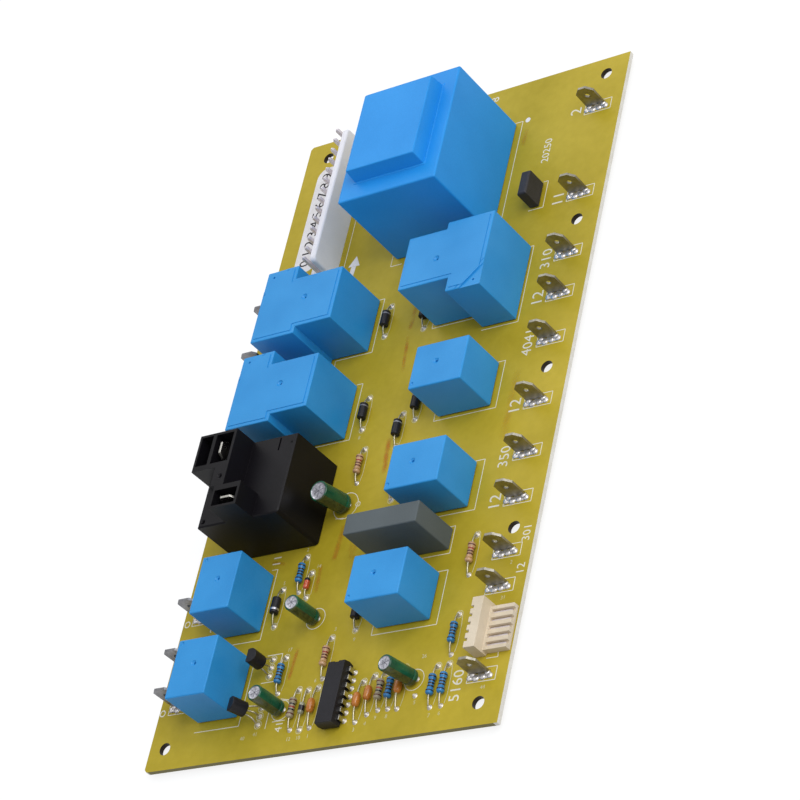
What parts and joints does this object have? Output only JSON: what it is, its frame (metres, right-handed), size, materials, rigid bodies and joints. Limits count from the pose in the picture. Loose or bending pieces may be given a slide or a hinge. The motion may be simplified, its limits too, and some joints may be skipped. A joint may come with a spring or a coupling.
{
  "type": "relay module board",
  "caption": "Circuit board with blue and black relays, a potted transformer, push-on tabs along both long edges, a pin header and an edge connector.",
  "frame": {"origin": "centre of the board's outline, at the lowest point of the solder joints", "axes": "+Y along the board's length towards the transformer end, +Z out of the component side, +X towards the edge with eleven push-on tabs"},
  "size_m": [0.1276, 0.2318, 0.0402],
  "materials": {
    "board_laminate": "satin glass-epoxy sheet",
    "transformer_blue": "satin moulded case",
    "relay_blue": "satin moulded cover",
    "relay_black": "satin moulded case",
    "relay_base": "matte moulded plate",
    "film_grey": "satin box",
    "sleeve_green": "shrunk sleeve",
    "moulded_black": "matte moulding",
    "diode_glass": "clear glass bead",
    "resistor_blue": "dipped lacquer",
    "resistor_tan": "dipped lacquer",
    "ceramic_orange": "dipped ceramic",
    "tinned_brass": "tin-plated sheet",
    "tinned_wire": "tin-plated wire",
    "solder": "bright solder",
    "header_white": "satin moulding",
    "connector_cream": "satin moulding"
  },
  "bodies": {
    "root": {"blue_resistors": "resistor_blue", "bridge_rectifier": "moulded_black", "ceramic_capacitors": "ceramic_orange", "chip_body": "moulded_black", "chip_leads": "tinned_wire", "circuit_board": "board_laminate", "edge_connector_contacts": "tinned_wire", "edge_connector_housing": "connector_cream", "edge_tab_left_1": "tinned_brass", "edge_tab_left_2": "tinned_brass", "edge_tab_left_3": "tinned_brass", "edge_tab_left_4": "tinned_brass", "edge_tab_left_5": "tinned_brass", "edge_tab_right_01": "tinned_brass", "edge_tab_right_02": "tinned_brass", "edge_tab_right_03": "tinned_brass", "edge_tab_right_04": "tinned_brass", "edge_tab_right_05": "tinned_brass", "edge_tab_right_06": "tinned_brass", "edge_tab_right_07": "tinned_brass", "edge_tab_right_08": "tinned_brass", "edge_tab_right_09": "tinned_brass", "edge_tab_right_10": "tinned_brass", "edge_tab_right_11": "tinned_brass", "electrolytic_capacitor_1": "sleeve_green", "electrolytic_capacitor_2": "sleeve_green", "electrolytic_capacitor_3": "sleeve_green", "electrolytic_capacitor_4": "sleeve_green", "film_capacitor": "film_grey", "glass_diodes": "diode_glass", "notched_relay_base_1": "relay_base", "notched_relay_base_2": "relay_base", "notched_relay_base_3": "relay_base", "notched_relay_cover_1": "relay_blue", "notched_relay_cover_2": "relay_blue", "notched_relay_cover_3": "relay_blue", "pin_header_housing": "header_white", "pin_header_pins": "tinned_wire", "power_relay_base": "relay_base", "power_relay_blade_1": "tinned_brass", "power_relay_blade_2": "tinned_brass", "power_relay_case": "relay_black", "rectifier_diodes": "moulded_black", "small_relay_base_1": "relay_base", "small_relay_base_2": "relay_base", "small_relay_base_3": "relay_base", "small_relay_base_4": "relay_base", "small_relay_base_5": "relay_base", "small_relay_cover_1": "relay_blue", "small_relay_cover_2": "relay_blue", "small_relay_cover_3": "relay_blue", "small_relay_cover_4": "relay_blue", "small_relay_cover_5": "relay_blue", "solder_joints": "solder", "tan_resistors": "resistor_tan", "transformer_case": "transformer_blue", "transformer_pins": "tinned_wire", "transistor_1": "moulded_black", "transistor_2": "moulded_black", "wire_leads": "tinned_wire"}
  },
  "joints": []
}
